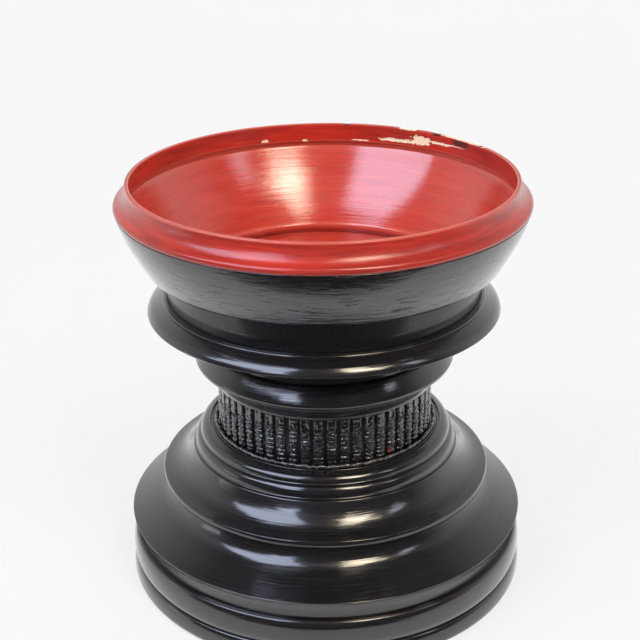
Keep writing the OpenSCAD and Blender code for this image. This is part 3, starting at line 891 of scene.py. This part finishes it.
def neck_shape():
    """The shape that lets the neck and the wall's foot widen evenly, with shade painted on the step at the
    floor.
    """
    low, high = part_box("neck_ring")
    reach = high.z + NECK_RISE
    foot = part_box("bowl_wall")[0].z
    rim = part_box("bowl_floor")[1].x

    def drawn_in(radius, height, angle):
        """Draws in the outside of the neck, and gives the painted shade on the step."""
        outside = rim + NECK_WALL < radius < high.x + NECK_SLACK
        if outside and low.z + NECK_SLACK < height < reach:
            even = high.x - NECK_FLARE * (reach - height) / (reach - low.z)
            return min(radius, even), height, 0.0
        # Painted shade on the step at the floor, darkest at its foot
        return radius, height, float(radius < rim - STEP_DEPTH and height < foot + STEP_SHADE_RISE)

    return drawn_in


# Places where the lip has lost its lacquer: the two ends round from the back to the right, in degrees,
# the lowest and highest place above the lip hoop's foot in millimetres, and how far it is bared, or
# soiled where that is below 0
LIP_CHIPS = (
    (31.2, 38.2, 3.2, 11.6, 1.0),
    (19.5, 33.0, 2.9, 6.2, 1.0),
    (9.5, 17.5, 1.2, 2.6, 0.9),
    (36.5, 46.5, 6.8, 9.2, 0.9),
    (44.5, 53.5, 7.9, 9.5, 0.8),
    (26.5, 33.5, 15.4, 18.0, 0.9),
    (42.5, 60.0, 15.2, 18.0, 0.9),
    (38.5, 42.5, 13.8, 17.0, -0.8),
    (47.0, 54.5, 9.5, 15.5, -0.9),
    (7.5, 9.5, 14.8, 17.2, -0.8),
    (-20.8, -18.6, 1.4, 4.2, 1.0),
    (-6.8, -4.6, -0.4, 2.0, 1.0),
)
# The noise that the chips' edges follow: its slice, its grain along the lip and up it, how far its broad waves
# and its teeth go, and how much finer the teeth are
LIP_SLICE = 3.0
GRAIN_ALONG = 0.9
GRAIN_UP = 0.7
CHIP_WAVES = 0.45
CHIP_TEETH = 0.3
TEETH_FINER = 2.3
# How square the chips are and how sharp their edges
CHIP_SQUARENESS = 3
CHIP_SHARPNESS = 1.6
# No chip lies further from the back than this, in degrees, or further below the hoop's foot, in millimetres
CHIPS_ASIDE = 70
CHIPS_BELOW = 2
# Longest stretch between two points of the lip's outline, how far below the lip's top a chip still lowers it,
# and how far out from the mouth the lining's face lies
LIP_STRETCH = 0.9 * MM
LIP_TOP = 2 * MM
LIP_FACE = 0.3 * MM


def lip_chip(degrees, lift):
    """How far the lacquer is lost at a place of the lip: 1 bared, 0 whole, below 0 soiled."""
    spot = Vector((degrees * GRAIN_ALONG, lift * GRAIN_UP, LIP_SLICE))
    drift = CHIP_WAVES * noise.noise(spot) + CHIP_TEETH * noise.noise(spot * TEETH_FINER)
    lost = 0.0
    for first, last, low, high, amount in LIP_CHIPS:
        aside = (2 * degrees - first - last) / (last - first)
        above = (2 * lift - low - high) / (high - low)
        # Between an ellipse and a box, with a ragged edge
        away = (abs(aside) ** CHIP_SQUARENESS + abs(above) ** CHIP_SQUARENESS) ** (1 / CHIP_SQUARENESS)
        share = min(1.0, max(0.0, 0.5 + CHIP_SHARPNESS * (1 - away + drift)))
        if share * abs(amount) > abs(lost):
            lost = share * amount
    return lost


def chipped_shape(mouth, lining):
    """The shape that sinks the chips into the lip's top, and into the lining's face at the mouth."""
    depth = bpy.context.scene.vessel_sizes.chip_depth
    foot, lip = (corner.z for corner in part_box("lip_hoop"))

    def chipped(radius, height, angle):
        """Sinks a point into its chip, and gives how far the lacquer is lost there."""
        # Degrees round from the back, which faces +Y, to the right
        degrees = math.degrees(math.atan2(math.cos(angle), math.sin(angle)))
        lift = (height - foot) / MM
        near = abs(degrees) < CHIPS_ASIDE and lift > -CHIPS_BELOW
        lost = lip_chip(degrees, lift) if near else 0.0
        near_top = max(0.0, 1 - (lip - height) / LIP_TOP)
        sunk = depth * min(1.0, abs(lost))
        if lining and radius < mouth + LIP_FACE:
            radius += sunk
        return radius, height - sunk * near_top, lost if lining or near_top > 0 else 0.0

    return chipped


class VESSEL_OT_collar(bpy.types.Operator):
    """Turn the red collar and the thin, chipped hoop that lines its lip"""
    bl_idname = "vessel.collar"
    bl_label = "Collar and Lip"

    def execute(self, context):
        sizes = context.scene.vessel_sizes
        for node, name, slot in (("bowl_collar", "turned_collar", "red_lacquer"),
                                 ("lip_hoop", "bent_lip_hoop", "lip_bamboo")):
            points, wear = eased(outline_of(node), sizes.lip_ease)
            points, wear = divided(points, wear, LIP_STRETCH)
            shape = chipped_shape(min(p[0] for p in points), node == "lip_hoop")
            mesh, _ = turned_mesh(name, points, wear, sizes.lip_segments, sizes.wobble, shape)
            finish_piece(name, mesh, [chipped_red_lacquer()], node)
        return {"FINISHED"}


# The paper in metres: radius of the floor, radius where the bend to the backdrop starts, the bend's own
# radius, the backdrop's top, and the top of the sheet that stands for it in the gloss
FLOOR_RADIUS = 1.4
BEND_START = 1.7
BEND_RADIUS = 0.35
BACKDROP_TOP = 2.0
GLEAM_TOP = 3.6
# How far the backdrop's paper goes under the floor's, and how far below it
PAPER_LAP = 0.02
PAPER_SINK = 0.5 * MM
# Facets of the bend, and facets round the stage
BEND_FACETS = 24
STAGE_FACETS = 96
# The sheet's two ends, round from the right to the back
GLEAM_ENDS = (math.radians(-30), math.radians(210))
# The dark table in metres: how far forward its far edge lies at the left and at the right, and its near edge,
# its half width and its height over the floor
TABLE_LEFT = 0.27
TABLE_RIGHT = 0.30
TABLE_NEAR = 2.2
TABLE_HALF = 2.2
TABLE_LIFT = 2 * MM


class VESSEL_OT_stage(bpy.types.Operator):
    """Set up the pale floor, the lights and the camera"""
    bl_idname = "vessel.stage"
    bl_label = "Stage"

    def execute(self, context):
        settings = context.scene.vessel_stage
        paper_sweep(settings)
        room(settings)
        lights(settings)
        camera(settings)
        context.scene.view_settings.view_transform = "Standard"
        return {"FINISHED"}


def stage_mesh(name, places, faces, material):
    """A piece of the stage."""
    mesh = bpy.data.meshes.new(name)
    mesh.from_pydata(places, [], faces)
    mesh.materials.append(material)
    mesh.shade_smooth()
    piece = bpy.data.objects.new(name, mesh)
    bpy.context.scene.collection.objects.link(piece)
    return piece


def seamless_paper(settings):
    """Matt paper off a wide roll, with a faint cloudiness.

    It gives a plain pale ground. To the eye and in the gloss it is nearly as white as its colour, and the
    light that it throws on the object stays as it is."""
    material, tree, shader = start_material("pale_seamless_paper")
    if not tree:
        return material
    shaded = linear("d9d9d8")
    tone = add_node(tree, "MapRange", {0: grit(tree, 60 * MM, 3.0), 1: 0.3, 2: 0.7, 3: 0, 4: 0.06})
    pale = add_node(tree, "Mix", {0: tone, 6: settings.paper, 7: shaded}, 2, data_type="RGBA")
    matt = add_node(tree, "MapRange", {0: tone, 3: 0.85, 4: 0.95})
    set_finish(tree, shader, pale, matt, [(grit(tree, 2 * MM), 0.05 * MM, 0.2)])
    shader.inputs["Specular IOR Level"].default_value = 0.1
    seen = None
    for ray in ("Is Camera Ray", "Is Glossy Ray", "Is Transmission Ray"):
        each = add_node(tree, "LightPath", output=ray)
        seen = add_node(tree, "Math", {0: seen, 1: each}, operation="MAXIMUM") if seen else each
    share = add_node(tree, "Math", {0: seen, 1: settings.paper_glow}, operation="MULTIPLY")
    glow = add_node(tree, "Emission", {"Color": settings.paper, "Strength": 1.0})
    shown = add_node(tree, "MixShader", {0: share, 1: shader.outputs[0], 2: glow})
    tree.links.new(shown, tree.nodes["Material Output"].inputs["Surface"])
    return material


def fading_paper(settings):
    """The backdrop as the gloss sees it, pale at its foot and fading into the dim room over and beside it."""
    material, tree, _ = start_material("paper_gleam")
    if not tree:
        return material
    place = add_node(tree, "TexCoord", output="Object")
    depth = add_node(tree, "SeparateXYZ", {0: place}, 1)
    behind = add_node(tree, "MapRange", {0: depth, 1: -1.0, 2: 0.6}, interpolation_type="SMOOTHSTEP")
    height = add_node(tree, "SeparateXYZ", {0: place}, 2)
    low = add_node(tree, "MapRange", {0: height, 1: 0.2, 2: GLEAM_TOP, 3: 0.8, 4: 0},
                   interpolation_type="SMOOTHSTEP")
    strength = add_node(tree, "Math", {0: behind, 1: low, 2: 0.1}, operation="MULTIPLY_ADD")
    glow = add_node(tree, "Emission", {"Color": settings.paper, "Strength": strength})
    tree.links.new(glow, tree.nodes["Material Output"].inputs["Surface"])
    return material


def stained_wood():
    """Dark stained wood, planed and left matt.

    It gives the gloss of the lower rings something dark to show, with a faint grain."""
    material, tree, shader = start_material("dark_table_edge")
    if tree:
        stain, planed = linear("1c1b1a"), linear("2a2826")
        grain = grit(tree, 40 * MM)
        colour = add_node(tree, "Mix", {0: grain, 6: stain, 7: planed}, 2, data_type="RGBA")
        roughness = add_node(tree, "MapRange", {0: grain, 3: 0.7, 4: 0.9})
        set_finish(tree, shader, colour, roughness, [(grain, 1 * MM, 0.1)])
    return material


def paper_sweep(settings):
    """Pale floor that turns up to a backdrop all round, and two pieces that show only in the gloss.

    These two stand for the room that the photograph doesn't show: the backdrop, which fades softly there,
    and the dark table in front."""
    wall = [(FLOOR_RADIUS - PAPER_LAP, -PAPER_SINK), (FLOOR_RADIUS, -PAPER_SINK)]
    for k in range(BEND_FACETS + 1):
        a = math.pi / 2 * k / BEND_FACETS
        rise = BEND_RADIUS - BEND_RADIUS * math.cos(a)
        wall.append((BEND_START + BEND_RADIUS * math.sin(a), rise - PAPER_SINK))
    upright = BEND_START + BEND_RADIUS
    paper = seamless_paper(settings)
    full = (0, 2 * math.pi)
    stage_mesh("paper_floor", *swept([(1 * MM, 0.0), (FLOOR_RADIUS, 0.0)], full), paper)
    backdrop = stage_mesh("paper_backdrop", *swept(wall + [(upright, BACKDROP_TOP)], full), paper)
    backdrop.visible_glossy = False
    fading = fading_paper(settings)
    gleam = stage_mesh("paper_gleam", *swept(wall + [(upright, GLEAM_TOP)], GLEAM_ENDS), fading)
    corners = [(-TABLE_HALF, -TABLE_NEAR, TABLE_LIFT), (TABLE_HALF, -TABLE_NEAR, TABLE_LIFT),
               (TABLE_HALF, -TABLE_RIGHT, TABLE_LIFT), (-TABLE_HALF, -TABLE_LEFT, TABLE_LIFT)]
    table = stage_mesh("dark_table", corners, [(0, 1, 2, 3)], stained_wood())
    for piece in (gleam, table):
        piece.visible_camera = False
        piece.visible_diffuse = False
        piece.visible_shadow = False


def swept(profile, ends):
    """Points and faces of a sheet that follows the profile round from one angle to another."""
    first, last = ends
    width = STAGE_FACETS + 1
    angles = [first + (last - first) * k / STAGE_FACETS for k in range(width)]
    places = [(radius * math.cos(a), radius * math.sin(a), height)
              for radius, height in profile for a in angles]
    faces = [(row + k, row + width + k, row + width + k + 1, row + k + 1)
             for row in range(0, (len(profile) - 1) * width, width) for k in range(STAGE_FACETS)]
    return places, faces


def room(settings):
    """Dim even light from the room round the stage."""
    world = bpy.data.worlds.new("dim_room")
    bpy.context.scene.world = world
    world.use_nodes = True
    background = world.node_tree.nodes["Background"]
    background.inputs["Color"].default_value = (*settings.room, 1)
    background.inputs["Strength"].default_value = 1.0


# Share of the window's power that gives the small window below it the same brightness
WINDOW_FOOT_SHARE = 0.032


def lights(settings):
    """The cool window, the warm lamp, small lights at the sides, and soft light from behind and above."""
    aim = (CAD_BOX[0] + CAD_BOX[1]) / 2
    cool, warm, pale = linear("d8e2ff"), linear("fff0d6"), linear("eef3ff")
    # Each light's direction and distance from the middle, the elevation that it faces, its size and its power
    for name, azimuth, elevation, far, faces, wide, tall, power, colour in (
            ("window", -52, 57, 2.07, 0, 1.15, 2.08, settings.window_power, cool),
            ("lamp", 32, 53, 1.75, 53, 0.75, 0.20, settings.lamp_power, warm),
            ("window_foot", -30, 29, 1.6, 0, 0.45, 0.17, settings.window_power * WINDOW_FOOT_SHARE, cool),
            ("lamp_panel", 29, 62, 2.43, 0, 0.45, 2.40, settings.panel_power, warm),
            ("side_light", 61, 38, 1.43, 0, 0.20, 0.57, settings.side_power, pale),
            ("low_card", -83, 2, 1.75, 2, 0.50, 0.25, settings.card_power, pale),
            ("sky_light", 180, 45, 2.2, 45, 2.8, 1.35, settings.sky_power, pale),
            ("ceiling_fill", 0, 72, 2.2, 72, 2.5, 2.5, settings.fill_power, pale)):
        light = bpy.data.lights.new(name, "AREA")
        light.shape = "RECTANGLE"
        light.size, light.size_y = wide, tall
        light.energy = power
        light.color = colour
        lamp = bpy.data.objects.new(name, light)
        a = math.radians(azimuth)
        place, back = (Vector((math.sin(a) * math.cos(e), -math.cos(a) * math.cos(e), math.sin(e)))
                       for e in (math.radians(elevation), math.radians(faces)))
        lamp.location = aim + place * far
        lamp.rotation_euler = back.to_track_quat("Z", "Y").to_euler()
        lamp.visible_camera = False
        # The broad lights stay out of the gloss, where their edges would show
        lamp.visible_glossy = name not in ("sky_light", "ceiling_fill")
        bpy.context.scene.collection.objects.link(lamp)


# Sensor that the lens's focal length is given for, in millimetres
SENSOR_WIDTH = 36


def camera(settings):
    """Camera where the photograph was taken from."""
    data = bpy.data.cameras.new("view")
    data.lens = settings.lens
    data.sensor_width = SENSOR_WIDTH
    eye = bpy.data.objects.new("view", data)
    bpy.context.scene.collection.objects.link(eye)
    turn = (Matrix.Rotation(-settings.yaw, 4, "Z") @ Matrix.Rotation(math.pi / 2 - settings.pitch, 4, "X")
            @ Matrix.Rotation(settings.roll, 4, "Z"))
    eye.matrix_world = Matrix.Translation((0, -settings.distance, settings.height)) @ turn
    bpy.context.scene.camera = eye


PIECES = (VESSEL_OT_foot, VESSEL_OT_skirts, VESSEL_OT_waist_rings, VESSEL_OT_frieze, VESSEL_OT_flange,
          VESSEL_OT_bowl, VESSEL_OT_collar, VESSEL_OT_stage)


class VESSEL_PT_build(bpy.types.Panel):
    """Buttons that build the vessel piece by piece"""
    bl_idname = "VESSEL_PT_build"
    bl_label = "Offering Vessel"
    bl_space_type = "VIEW_3D"
    bl_region_type = "UI"
    bl_category = "Vessel"

    def draw(self, context):
        for piece in PIECES:
            self.layout.operator(piece.bl_idname)
        for group in (context.scene.vessel_sizes, context.scene.vessel_colours, context.scene.vessel_stage):
            box = self.layout.box()
            for name in group.__annotations__:
                box.prop(group, name)


CLASSES = (VesselSizes, VesselColours, StageSettings, *PIECES, VESSEL_PT_build)


def register():
    """Adds the classes and the scene's settings."""
    for each in CLASSES:
        bpy.utils.register_class(each)
    bpy.types.Scene.vessel_sizes = PointerProperty(type=VesselSizes)
    bpy.types.Scene.vessel_colours = PointerProperty(type=VesselColours)
    bpy.types.Scene.vessel_stage = PointerProperty(type=StageSettings)


def unregister():
    """Takes the settings and classes away again."""
    del bpy.types.Scene.vessel_stage
    del bpy.types.Scene.vessel_colours
    del bpy.types.Scene.vessel_sizes
    for each in reversed(CLASSES):
        bpy.utils.unregister_class(each)


def main():
    register()
    bpy.ops.vessel.foot()
    bpy.ops.vessel.skirts()
    bpy.ops.vessel.waist_rings()
    bpy.ops.vessel.frieze()
    bpy.ops.vessel.flange()
    bpy.ops.vessel.bowl()
    bpy.ops.vessel.collar()
    bpy.ops.vessel.stage()


if __name__ == "__main__":
    main()
